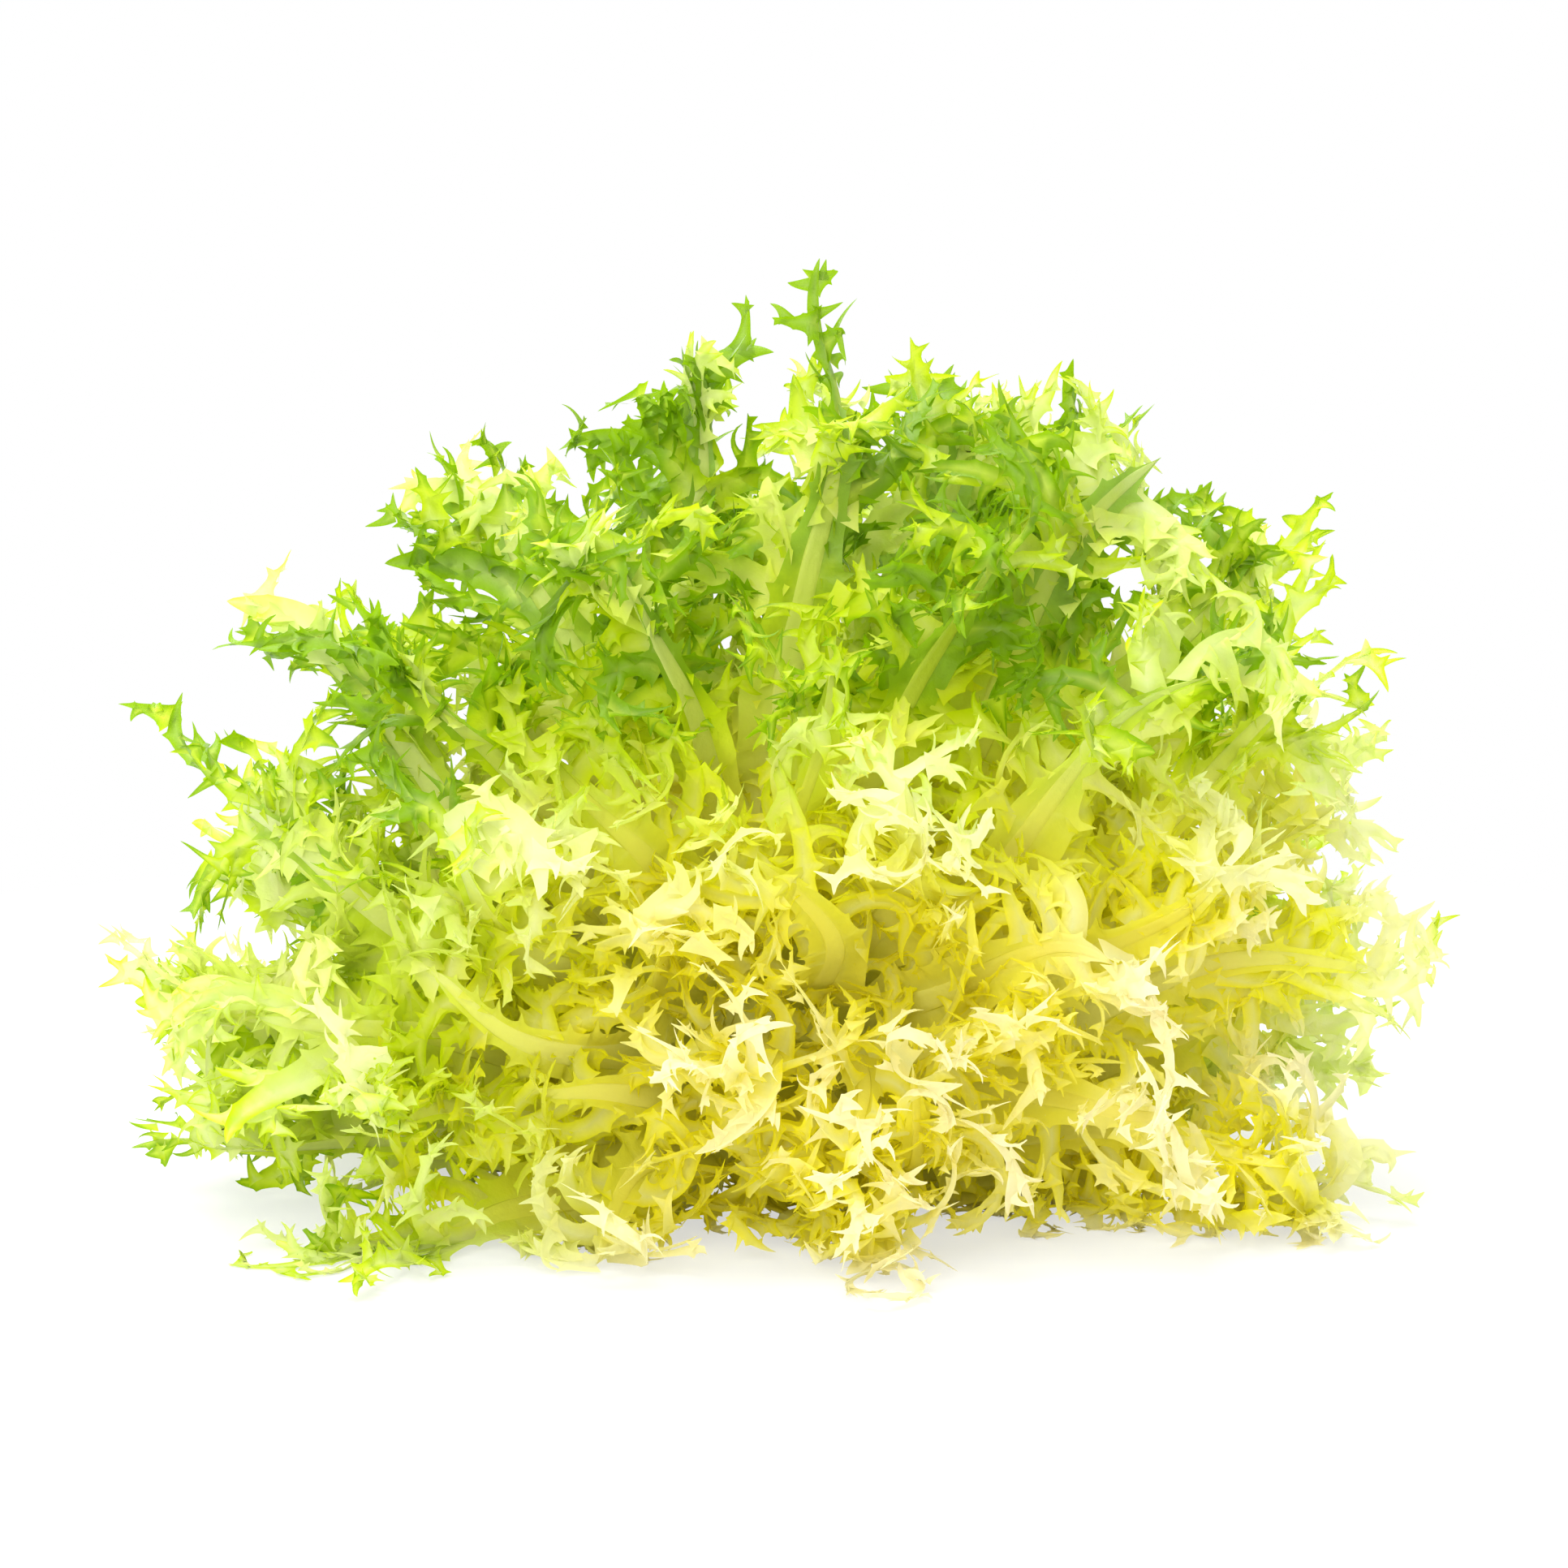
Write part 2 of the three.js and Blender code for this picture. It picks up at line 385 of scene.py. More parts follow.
# The rib: fleshy, widest at the base, with a shallow channel down its inner face.
ribShape = {
    "corners": 10,
    "every": 2,  # it has a ring at every second station
    "narrowing": (0.8, 1.1),  # how much of its width is lost by the tip, and how late
    "thinning": (0.84, 0.8),
    "footFade": 0.16,
    "pointFrom": 0.93,
    "pointing": 0.999,
    "channel": 0.75,
    "channelWidth": 0.6,
    "green": 0.6,
    "greenEnds": (0.15, 0.8),
    "paleLoss": 0.3,
    "greenCovers": 0.55,
    "shownPaler": 0.6,
}


# Returns the rib's half width, how green the leaf is along it and how fleshy it is.
def addRib(surface, plan, curve, share):
    centres, _, sides, faces = curve
    ring = np.linspace(0, 2 * math.pi, ribShape["corners"], endpoint=False)
    pointed = np.sqrt(1 - ribShape["pointing"] * smoothStep(share, ribShape["pointFrom"], 1.0))
    loss, lateness = ribShape["narrowing"]
    halfWidth = (plan["ribHalfWidth"] * (1 - loss * share ** lateness) * pointed
                 + plan["footHalfWidth"] * np.exp(-share / ribShape["footFade"]))
    loss, lateness = ribShape["thinning"]
    halfDepth = plan["ribHalfThickness"] * (1 - loss * share ** lateness) * pointed
    channel = 1 - ribShape["channel"] * np.exp(-((ring - math.pi / 2) / ribShape["channelWidth"]) ** 2)
    tube = (centres[:, None] + sides[:, None] * (halfWidth[:, None] * np.cos(ring))[..., None]
            + faces[:, None] * (halfDepth[:, None] * np.sin(ring) * channel)[..., None])
    green = plan["green"] * smoothStep(share, *ribShape["greenEnds"])
    covered = ribShape["greenCovers"] * green * (1 - ribShape["shownPaler"] * plan["shown"])
    fleshy = (1 - ribShape["paleLoss"] * share) * (1 - covered)
    rows = slice(None, None, ribShape["every"])
    tint = (ribShape["green"] * green)[None, rows, None]
    surface.addGrids(tube[None, rows], tint, fleshy[None, rows, None], tube=True)
    return halfWidth, green, fleshy


# The wing: a thin blade on both sides of the rib, widest below its middle, with a ruffled
# and spiked margin. The ruffle length is millimetres to a radian of its wave.
wingShape = {
    "fullAt": 0.38,
    "narrowing": 0.7,
    "narrows": (0.4, 0.85),
    "tipEnds": (0.86, 1.0),
    "shownNarrower": 0.5,
    "sweep": 0.6,
    "stand": 0.35,
    "fromRib": 0.9,
    "ruffleLength": 4.5,
    "ruffleStarts": 6,
    "cup": 0.2,
    "paleEdge": 0.1,
    "paleMiddle": 0.3,
    "blanched": 0.45,
    "baseBlanched": 0.45,
    "baseEnds": (0.1, 0.45),
    "greenCovers": 0.6,
}


# Returns the wing's half width, without its spikes.
def addWing(surface, plan, rng, curve, share, length, halfWidth, green, fleshy):
    wing = plan["wingHalfWidth"] * smoothStep(share, plan["wingStart"], wingShape["fullAt"])
    wing = wing * (1 - wingShape["narrowing"] * smoothStep(share, *wingShape["narrows"]))
    wing = wing * (1 - wingShape["shownNarrower"] * plan["shown"])
    wing = wing * (1 - smoothStep(share, *wingShape["tipEnds"]))
    size = np.array([plan["wingSpike"]])
    margin = spikedMargins(rng, 1, len(share) - 1, size, wingShape["sweep"], wingShape["stand"])
    widths = [halfWidth[None] * wingShape["fromRib"] + wing[None] + spike for spike in margin[0]]
    depth = wing * plan["wingRuffle"] / plan["wingHalfWidth"]
    waves = share * length / wingShape["ruffleLength"]
    lifts = []
    for stood in margin[2]:
        ruffle = depth * np.sin(waves + rng.uniform(0, wingShape["ruffleStarts"]))
        lifts.append(stood + ruffle[None])
    grown = [values[None] for values in curve]
    blade = strapPoints(grown, widths, margin[1], lifts, wingShape["cup"], columns=(0.5, 1.0))
    edge = np.full(len(share), wingShape["paleEdge"])
    middle = wingShape["paleMiddle"] * fleshy
    ribbed = np.stack([edge, middle, fleshy, middle, edge], -1)
    base = 1 - smoothStep(share, *wingShape["baseEnds"])
    blanched = wingShape["blanched"] + wingShape["baseBlanched"] * base
    ribbed = np.maximum(ribbed, (blanched * (1 - wingShape["greenCovers"] * green))[:, None])
    surface.addGrids(blade, green[None, :, None], ribbed[None])
    return wing


# Where the lobes stand along a leaf and how green they are.
frills = {
    "laterStart": 0.25,
    "jitter": (0.1, 0.9),
    "rowsApart": 0.4,
    "last": 0.999,
    "onRib": 0.5,
    "onWing": 0.7,
    "greenEnds": (0.15, 0.7),
    "greenRange": (0.5, 1.42),
}


# Lobes, in two rows, then lobelets on the lobes and spurs on both.
def addFrills(surface, plan, rng, curve, length, footing):
    first = plan["firstLobe"] + frills["laterStart"] * rng.random() ** 2
    count = int(length * (1 - first) / plan["lobeSpacing"])
    spaced = np.arange(count) + rng.uniform(*frills["jitter"], count)
    place = first + (1 - first - plan["bare"]) * spaced / count
    place = np.concatenate([place, place + frills["rowsApart"] / count])
    place = np.clip(place, 0, frills["last"])
    sign = np.repeat([-1.0, 1.0], count)
    lobes = growLobes(plan, rng, curve, place, sign, footing)
    green = plan["green"] * smoothStep(place, *frills["greenEnds"])
    green = green * rng.uniform(*frills["greenRange"], len(place))
    addStraps(surface, plan, rng, lobes, green, "lobe")
    lobelets, parents = growBranches(plan, rng, lobes, "lobelet")
    addStraps(surface, plan, rng, lobelets, green[parents], "lobelet")
    for carriers, carried in ((lobes, green), (lobelets, green[parents])):
        spurs, parents = growBranches(plan, rng, carriers, "spur")
        addStraps(surface, plan, rng, spurs, carried[parents], "spur")


def growLeaf(plan):
    rng = np.random.default_rng(leafWay["firstSeed"] + plan["index"])
    for name, (atHeart, atOutside) in foliage.items():
        plan[name] = atHeart + (atOutside - atHeart) * smoothStep(plan["share"], *blendEnds)
    plan["bare"] = plan["sprig"] * rng.random()
    plan["shown"] = float(variation(plan["index"], "showing") > showing)
    surface = Surface()
    curve, share = leafCurve(plan, rng)
    length = np.linalg.norm(np.diff(curve[0], axis=0), axis=1).sum()
    halfWidth, green, fleshy = addRib(surface, plan, curve, share)
    wing = addWing(surface, plan, rng, curve, share, length, halfWidth, green, fleshy)
    addFrills(surface, plan, rng, curve, length, frills["onRib"] * halfWidth + frills["onWing"] * wing)
    return surface


# Values along a leaf, read at some places between its stations.
def atPlaces(values, place):
    position = place * (len(values) - 1)
    low = np.minimum(position.astype(int), len(values) - 2)
    part = (position - low).reshape(-1, *([1] * (values.ndim - 1)))
    return values[low] * (1 - part) + values[low + 1] * part


# A bend or curl for each strap, at its foot and how it changes by its tip, mostly one way.
bending = {"sizes": (0.3, 1.4), "easing": 0.4}


def bends(rng, count, size, change):
    way = np.where(rng.random(count) < 0.5, -1.0, 1.0)
    foot = size * way * rng.uniform(*bending["sizes"], count)
    return np.stack([foot, size * change * rng.normal(0, 1, count) - bending["easing"] * foot], -1)


# How the lobes stand on their leaf: they are longest a little beyond the middle of their row.
# Angles are in degrees, and the wave of the lengths is in half turns.
lobeHabit = {
    "shortest": 0.5,
    "waveStart": 0.08,
    "waveRun": 0.68,
    "lengths": (0.65, 1.25),
    "leanSpread": 12,
    "gathering": 1.5,
    "tilt": -20,
    "tiltSpread": 22,
    "shownTilt": 38,
    "turning": (0.3, 1.1),
    "wobble": 0.15,
    "curlChange": 1.4,
    "bendChange": 0.8,
    "twistSpread": 0.04,
}


def growLobes(plan, rng, curve, place, sign, footing):
    centres, alongs, sides, faces = [atPlaces(values, place) for values in curve]
    count = len(place)
    rise = (place - place.min()) / (1 - place.min())
    wave = np.sin(math.pi * (lobeHabit["waveStart"] + lobeHabit["waveRun"] * rise))
    full = plan["lobeLength"] * (lobeHabit["shortest"] + (1 - lobeHabit["shortest"]) * wave)
    length = full * rng.uniform(*lobeHabit["lengths"], count)
    gathered = plan["lobeGather"] * rise ** lobeHabit["gathering"]
    lean = np.radians(plan["lobeLean"] - gathered + rng.normal(0, lobeHabit["leanSpread"], count))
    tilted = rng.normal(lobeHabit["tilt"], lobeHabit["tiltSpread"]) - lobeHabit["shownTilt"] * plan["shown"]
    tilt = np.radians(tilted + rng.normal(0, lobeHabit["tiltSpread"], count))
    out = sides * (sign * np.cos(tilt))[:, None] + faces * np.sin(tilt)[:, None]
    along = alongs * np.cos(lean)[:, None] + out * np.sin(lean)[:, None]
    # The broad face of a lobe turns outwards as the margin ruffles.
    face = faces * np.cos(tilt)[:, None] - sides * (sign * np.sin(tilt))[:, None]
    outward = unit(centres - coreCentre)
    outward = outward * np.where((outward * face).sum(-1, keepdims=True) < 0, -1.0, 1.0)
    turned = plan["outwardTurn"] * rng.uniform(*lobeHabit["turning"], count)[:, None]
    face = face * (1 - turned) + outward * turned + lobeHabit["wobble"] * rng.normal(0, 1, (count, 3))
    start = centres + sides * (sign * atPlaces(footing, place))[:, None]
    curl = bends(rng, count, plan["lobeCurl"], lobeHabit["curlChange"])
    bend = bends(rng, count, plan["lobeBend"], lobeHabit["bendChange"])
    twist = rng.normal(0, lobeHabit["twistSpread"], count)
    steps = int(round(plan["lobeLength"] / strapKinds["lobe"]["step"]))
    return growStraps(start, along, face, length, steps, curl, bend, twist), length


# How lobelets and spurs stand on the straps that carry them. Angles are in degrees, and places
# are shares of the carrier.
branchHabit = {
    "bearing": 0.86,
    "chance": 0.5,
    "first": 0.16,
    "run": 0.74,
    "jitter": (0.2, 0.8),
    "footSize": 1.2,
    "shrinking": 0.6,
    "sizes": (0.5, 1.25),
    "longest": 0.75,
    "lean": 58,
    "leanSpread": 12,
    "tiltSpread": 28,
    "curlChange": 1.2,
    "bendChange": 0.8,
    "twistSpread": 0.06,
}


# Lobelets or spurs along the margins of their carriers, and the carrier of each.
def growBranches(plan, rng, carriers, kind):
    (centres, alongs, sides, faces), length = carriers
    steps = centres.shape[1] - 1
    parents, places, signs = [], [], []
    for carrier in range(len(length)):
        room = length[carrier] * branchHabit["bearing"] / plan[kind + "Spacing"]
        many = max(1, int(room + rng.random() * branchHabit["chance"]))
        spaced = np.arange(many) + rng.uniform(*branchHabit["jitter"], many)
        parents.append(np.full(many, carrier))
        places.append(branchHabit["first"] + branchHabit["run"] * spaced / many)
        signs.append(np.where((np.arange(many) + carrier) % 2 == 0, -1.0, 1.0))
    parents, places, signs = map(np.concatenate, (parents, places, signs))
    at = np.minimum((places * steps).astype(int), steps)
    start, along, side, face = (values[parents, at] for values in (centres, alongs, sides, faces))
    count = len(parents)
    size = plan[kind + "Length"] * (branchHabit["footSize"] - branchHabit["shrinking"] * places)
    size = size * rng.uniform(*branchHabit["sizes"], count)
    size = np.minimum(size, length[parents] * branchHabit["longest"])
    lean = np.radians(rng.normal(branchHabit["lean"], branchHabit["leanSpread"], count))
    tilt = np.radians(rng.normal(0, branchHabit["tiltSpread"], count))
    out = side * (signs * np.cos(tilt))[:, None] + face * np.sin(tilt)[:, None]
    heading = along * np.cos(lean)[:, None] + out * np.sin(lean)[:, None]
    turned = face * np.cos(tilt)[:, None] - side * (signs * np.sin(tilt))[:, None]
    curl = bends(rng, count, plan[kind + "Curl"], branchHabit["curlChange"])
    bend = bends(rng, count, plan[kind + "Bend"], branchHabit["bendChange"])
    twist = rng.normal(0, branchHabit["twistSpread"], count)
    steps = int(round(plan[kind + "Length"] / strapKinds[kind]["step"]))
    return (growStraps(start, heading, turned, size, steps, curl, bend, twist), size), parents


# What differs between the kinds of strap: the millimetres to a station, how blunt the strap
# is, the web at its foot, how much greener it is than its carrier, how pale its rib is, and
# how much of that is gone by its tip.
strapKinds = {
    "lobe": {"step": 0.95, "blunt": 3.0, "web": 1.1, "greener": 1.0, "pale": 0.95, "paleLoss": 0.7},
    "lobelet": {"step": 0.95, "blunt": 1.6, "web": 1.1, "greener": 1.06, "pale": 0.6, "paleLoss": 1.0},
    "spur": {"step": 1.35, "blunt": 1.6, "web": 0.7, "greener": 1.1, "pale": 0.6, "paleLoss": 1.0},
}
# What the kinds share. A few straps are much broader than the rest.
strapShape = {
    "narrowest": 0.75,
    "broader": 0.4,
    "rarelyBroader": 1.2,
    "rarity": 6,
    "footBody": 1.1,
    "narrowing": 0.25,
    "rounding": 0.8,
    "footWidth": 0.6,
    "footLength": 0.5,
    "spikes": (0.6, 1.2),
    "sweep": 0.5,
    "stand": 0.3,
    "thinnest": 0.06,
    "gutter": 0.5,
    "footGreen": 0.68,
    "tipGreener": 0.42,
    "greenAcross": (1.07, 0.88, 1.07),
    "greenCovers": 0.62,
}


# Dresses grown straps with a surface: a wide foot, a strap with spiked margins and a point.
def addStraps(surface, plan, rng, straps, green, kind):
    own = strapKinds[kind]
    usual = plan[kind + "HalfWidth"]
    grown, length = straps
    count, stations = grown[0].shape[:2]
    share = np.linspace(0, 1, stations)[None]
    distance = share * length[:, None]
    broader = strapShape["narrowest"] + strapShape["broader"] * rng.random(count)
    broader = broader + strapShape["rarelyBroader"] * rng.random(count) ** strapShape["rarity"]
    half = usual * broader[:, None]
    body = half * (strapShape["footBody"] - strapShape["narrowing"] * share)
    body = body * (1 - share ** own["blunt"]) ** strapShape["rounding"]
    # A broad strap starts no wider than the others, so that its foot sits on its carrier.
    body = body * (1 - (1 - 1 / np.maximum(broader, 1))[:, None] * np.exp(-distance / half))
    foot = usual * strapShape["footWidth"] + own["web"]
    foot = foot * np.exp(-distance / (strapShape["footLength"] * usual + own["web"]))
    size = plan[kind + "Spike"] * rng.uniform(*strapShape["spikes"], count)
    margin = spikedMargins(rng, count, stations - 1, size, strapShape["sweep"], strapShape["stand"])
    widths = [body + foot + spike + strapShape["thinnest"] for spike in margin[0]]
    gutter = rng.choice([-strapShape["gutter"], strapShape["gutter"]], (count, 1))
    points = strapPoints(grown, widths, margin[1], margin[2], gutter)
    greened = (green * own["greener"])[:, None, None]
    greened = greened * (strapShape["footGreen"] + strapShape["tipGreener"] * share[..., None])
    tint = greened * np.array(strapShape["greenAcross"])
    covered = strapShape["greenCovers"] * plan["green"] * lightOn(grown[0])
    pale = own["pale"] * (1 - own["paleLoss"] * share) * (1 - covered)
    surface.addGrids(points, tint, np.stack([0 * pale, pale, 0 * pale], -1))


# How green the foliage is: the older a leaf the greener, and the more light a place had while
# the head grew, above, behind and at both sides. Round the heart it is blanched. Lengths are
# in millimetres.
greening = {
    "young": 0.1,
    "old": 0.6,
    "least": 0.8,
    "most": 1.03,
    "leafLeast": 0.8,
    "leafRange": 0.35,
    "above": 84.0,
    "beside": -45.0,
    "behind": 20.0,
    "edge": 118.0,
    "blend": 42.0,
    "reachEnds": (-0.6, 1.0),
    "dim": 0.05,
    "low": 0.62,
    "lowEnds": (40, 130),
}


def leafGreen(plan):
    aged = smoothStep(plan["share"], greening["young"], greening["old"])
    usual = greening["least"] + (greening["most"] - greening["least"]) * aged
    return usual * (greening["leafLeast"] + greening["leafRange"] * variation(plan["index"], "green"))


def lightOn(points):
    above = (points[..., 2] - greening["above"]) / greening["blend"]
    beside = (greening["beside"] - points[..., 0]) / greening["blend"]
    behind = (points[..., 1] - greening["behind"]) / greening["blend"]
    edge = (points[..., 0] - greening["edge"]) / greening["blend"]
    reached = smoothStep(np.max([above, beside, behind, edge], axis=0), *greening["reachEnds"])
    raised = greening["low"] + (1 - greening["low"]) * smoothStep(points[..., 2], *greening["lowEnds"])
    return (greening["dim"] + (1 - greening["dim"]) * reached) * raised


# Painted shade: how thickly the foliage stands round a place, from counts in cells that are spread
# to their neighbours. A place is deep, and gets painted shade, where the foliage just outside it is
# thick, or where it is well inside the head's outline, which is at 1. Lengths are in millimetres.
cover = {
    "cell": 3.0,
    "margin": 42.0,
    "spreads": 22,
    "usual": 60,  # the percentile of the counts that they are measured by
    "outside": 8.5,
    "open": 0.34,
    "closed": 0.82,
    "inner": 0.62,
    "outer": 0.87,
    # the painted shade is made stronger towards the right
    "thinning": 0.3,  # the foliage is thinner towards the right
    "thinEnds": (50, 105),
    # the painted shade is weaker at the back and fades out near the floor
    "atBack": 0.45,
    "backEnds": (-0.25, 0.2),
    "aloft": 5.0,
}


class Crowd:
    def __init__(self, points):
        self.low = points.min(0) - cover["margin"]
        shape = np.ceil((points.max(0) + cover["margin"] - self.low) / cover["cell"]).astype(int)
        cells = np.ravel_multi_index(self.cellOf(points), shape)
        self.counts = np.bincount(cells, minlength=shape.prod()).reshape(shape).astype(float)
        for way in list(range(3)) * cover["spreads"]:
            besides = np.roll(self.counts, 1, way) + 2 * self.counts + np.roll(self.counts, -1, way)
            self.counts = besides / 4
        self.usual = np.percentile(self.counts[self.cellOf(points)], cover["usual"])

    def cellOf(self, points):
        return tuple(((points - self.low) / cover["cell"]).astype(int).T)

    # How much painted shade a place gets: 0 at the outside of the foliage and 1 well inside.
    def paintedShadeOf(self, points):
        out = unit(points - coreCentre)
        thinner = 1 - cover["thinning"] * smoothStep(points[:, 0], *cover["thinEnds"])
        thick = self.counts[self.cellOf(points + out * cover["outside"])] / (self.usual * thinner)
        way = (points - coreCentre) / [layout["sideReach"], 1, layout["topReach"]]
        way[:, 1] /= np.where(way[:, 1] > 0, layout["backReach"], layout["frontReach"])
        inner = 1 - smoothStep(np.linalg.norm(way, axis=1), cover["inner"], cover["outer"])
        facing = smoothStep((out * headAxis).sum(-1), *cover["backEnds"])
        ahead = cover["atBack"] + (1 - cover["atBack"]) * facing
        aloft = smoothStep(points[:, 2], 0, cover["aloft"])
        return np.maximum(smoothStep(thick, cover["open"], cover["closed"]), inner) * ahead * aloft


# A mesh from a surface, with the values that the skin reads painted on its points.
def makeMesh(name, surface, crowd, material):
    points = surface.settled
    quads = np.concatenate(surface.quads)
    corners = np.concatenate([quads.ravel(), *surface.caps]).astype(np.int32)
    sizes = np.array([4] * len(quads) + [len(cap) for cap in surface.caps])
    mesh = bpy.data.meshes.new(name)
    mesh.vertices.add(len(points))
    mesh.vertices.foreach_set("co", (points * millimetre).astype(np.float32).ravel())
    mesh.loops.add(len(corners))
    mesh.loops.foreach_set("vertex_index", corners)
    mesh.polygons.add(len(sizes))
    mesh.polygons.foreach_set("loop_start", (np.cumsum(sizes) - sizes).astype(np.int32))
    mesh.update(calc_edges=True)
    mesh.validate()
    mesh.polygons.foreach_set("use_smooth", np.ones(len(mesh.polygons), bool))
    painted = {
        "tint": np.concatenate(surface.tints) * lightOn(points),
        "rib": np.concatenate(surface.ribs),
        # the depth value is the painted shade that the skin reads
        "depth": crowd.paintedShadeOf(points),
    }
    for label, values in painted.items():
        layer = mesh.attributes.new(label, "FLOAT", "POINT")
        layer.data.foreach_set("value", values.astype(np.float32))
    mesh.materials.append(material)
    piece = bpy.data.objects.new(name, mesh)
    bpy.context.scene.collection.objects.link(piece)
    return piece


# The skin: the colours that a leaf runs through as it greens, the rib colour that lies over
# them, and the painted shade colour: what is deep in the foliage is multiplied towards gold, as shade there.
# Scales are to the metre.
skin = {
    "leafColours": [
        (0.0, (0.95, 0.893, 0.61)),
        (0.25, (0.88, 0.888, 0.5)),
        (0.5, (0.76, 0.85, 0.27)),
        (0.75, (0.60, 0.74, 0.008)),
        (1.0, (0.25, 0.44, 0.0005)),
    ],
    "ribColour": (0.94, 0.94, 0.68),
    "ribSharpness": 1.4,
    "ribSpared": 0.6,
    # painted shade: the golden colour that what is deep in the foliage is multiplied by
    "paintedShadeColour": (0.99, 0.98, 0.015),
    "patchScale": 55.0,
    "speckScale": 420.0,
    "speckStrength": 0.35,
    "blisterScale": 900.0,
    "blisterRoughness": 0.55,
    "blisterStrength": 0.25,
    "blisterHeight": 0.0006,
    "gloss": 0.26,
}
# Each slot's material: its name, how much light goes through it, its roughness and its mottle.
finishes = {
    "heart": ("heart_leaf_skin", 0.62, 0.28, 0.12),
    "inner": ("inner_leaf_skin", 0.6, 0.28, 0.18),
    "middle": ("middle_leaf_skin", 0.55, 0.28, 0.28),
    "outer": ("outer_leaf_skin", 0.5, 0.28, 0.36),
    "core": ("core_flesh", 0.25, 0.45, 0.08),
}


def addNode(tree, kind, **inputs):
    node = tree.nodes.new(kind)
    for name, value in inputs.items():
        node.inputs[name.replace("_", " ")].default_value = value
    return node


# Gives a socket another node's output, a colour or a number.
def feed(tree, socket, value):
    if hasattr(value, "links"):
        tree.links.new(value, socket)
    elif isinstance(value, tuple):
        socket.default_value = (*value, 1.0)
    else:
        socket.default_value = value


def calculate(tree, operation, *values):
    node = tree.nodes.new("ShaderNodeMath")
    node.operation = operation
    for socket, value in zip(node.inputs, values):
        feed(tree, socket, value)
    return node.outputs[0]


def mixColours(tree, blend, factor, first, second):
    node = tree.nodes.new("ShaderNodeMix")
    node.data_type = "RGBA"
    node.blend_type = blend
    for socket, value in ((node.inputs[0], factor), (node.inputs[6], first), (node.inputs[7], second)):
        feed(tree, socket, value)
    return node.outputs[2]


def mixShaders(tree, factor, first, second, output):
    mix = tree.nodes.new("ShaderNodeMixShader")
    for socket, value in zip(mix.inputs, (factor, first.outputs[0], second.outputs[0])):
        feed(tree, socket, value)
    tree.links.new(mix.outputs[0], output.inputs["Surface"])


# The value painted under this label.
def readPaint(tree, label):
    node = tree.nodes.new("ShaderNodeAttribute")
    node.attribute_name = label
    return node.outputs["Fac"]


def addNoise(tree, place, scale, roughness=0.5):
    node = addNode(tree, "ShaderNodeTexNoise", Scale=scale, Detail=2.0, Roughness=roughness)
    tree.links.new(place, node.inputs["Vector"])
    return node.outputs["Fac"]


def leafMaterial(name, through, roughness, mottle):
    material = bpy.data.materials.new(name)
    material.use_nodes = True
    tree = material.node_tree
    tree.nodes.clear()
    link = tree.links.new
    place = tree.nodes.new("ShaderNodeTexCoord").outputs["Object"]
    rib = readPaint(tree, "rib")

    # How green the leaf is here: its own tint, mottled by patches and specks.
    patches = addNoise(tree, place, skin["patchScale"])
    patches = calculate(tree, "MULTIPLY_ADD", patches, mottle, -0.5 * mottle)
    specks = addNoise(tree, place, skin["speckScale"])
    specks = calculate(tree, "MULTIPLY_ADD", specks, mottle * skin["speckStrength"], patches)
    greened = calculate(tree, "ADD", readPaint(tree, "tint"), specks)
    ramp = tree.nodes.new("ShaderNodeValToRGB")
    stops = ramp.color_ramp
    stops.interpolation = "EASE"
    for stop, (position, colour) in enumerate(skin["leafColours"]):
        element = stops.elements[stop] if stop < 2 else stops.elements.new(position)
        element.position = position
        element.color = (*colour, 1.0)
    link(greened, ramp.inputs[0])

    # The ribs are pale, and what is deep in the foliage gets a golden painted shade, the ribs less than the
    # rest.
    paleness = calculate(tree, "POWER", rib, skin["ribSharpness"])
    colour = mixColours(tree, "MIX", paleness, ramp.outputs[0], skin["ribColour"])
    # how much painted shade a place gets, from its painted depth value
    spared = calculate(tree, "MULTIPLY_ADD", rib, -skin["ribSpared"], 1.0)
    paintedShade = calculate(tree, "MULTIPLY", readPaint(tree, "depth"), spared)
    colour = mixColours(tree, "MULTIPLY", paintedShade, colour, skin["paintedShadeColour"])

    # A blistered skin that shines a little and lets light through.
    bump = addNode(tree, "ShaderNodeBump", Strength=skin["blisterStrength"], Distance=skin["blisterHeight"])
    link(addNoise(tree, place, skin["blisterScale"], skin["blisterRoughness"]), bump.inputs["Height"])
    shiny = addNode(tree, "ShaderNodeBsdfPrincipled", Roughness=roughness, Specular_IOR_Level=skin["gloss"])
    link(colour, shiny.inputs["Base Color"])
    glowing = tree.nodes.new("ShaderNodeBsdfTranslucent")
    link(colour, glowing.inputs["Color"])
    for shader in (shiny, glowing):
        link(bump.outputs[0], shader.inputs["Normal"])
    mixShaders(tree, through, shiny, glowing, tree.nodes.new("ShaderNodeOutputMaterial"))
    return material


materials = {slot: leafMaterial(*finish) for slot, finish in finishes.items()}
print("skins mixed", len(materials))

surfaces = []
for index in range(layout["leafCount"]):
    plan = leafPlan(index)
    plan["green"] = leafGreen(plan)
    surfaces.append(growLeaf(plan))
    surfaces[-1].layDown()
# the foliage counted for the painted shade
crowd = Crowd(np.concatenate([surface.settled for surface in surfaces]))
triangles = 0
for index, surface in enumerate(surfaces):
    whorl, first, slot = [entry for entry in whorls if entry[1] <= index][-1]
    node = f"{whorl}_{index - first + 1:02d}"
    piece = makeMesh(f"frilly_{node}", surface, crowd, materials[slot])
    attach(piece, "root")
    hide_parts(node)
    triangles += len(piece.data.loops) - 2 * len(piece.data.polygons)
print("leaves grown", len(surfaces), "triangles", triangles)

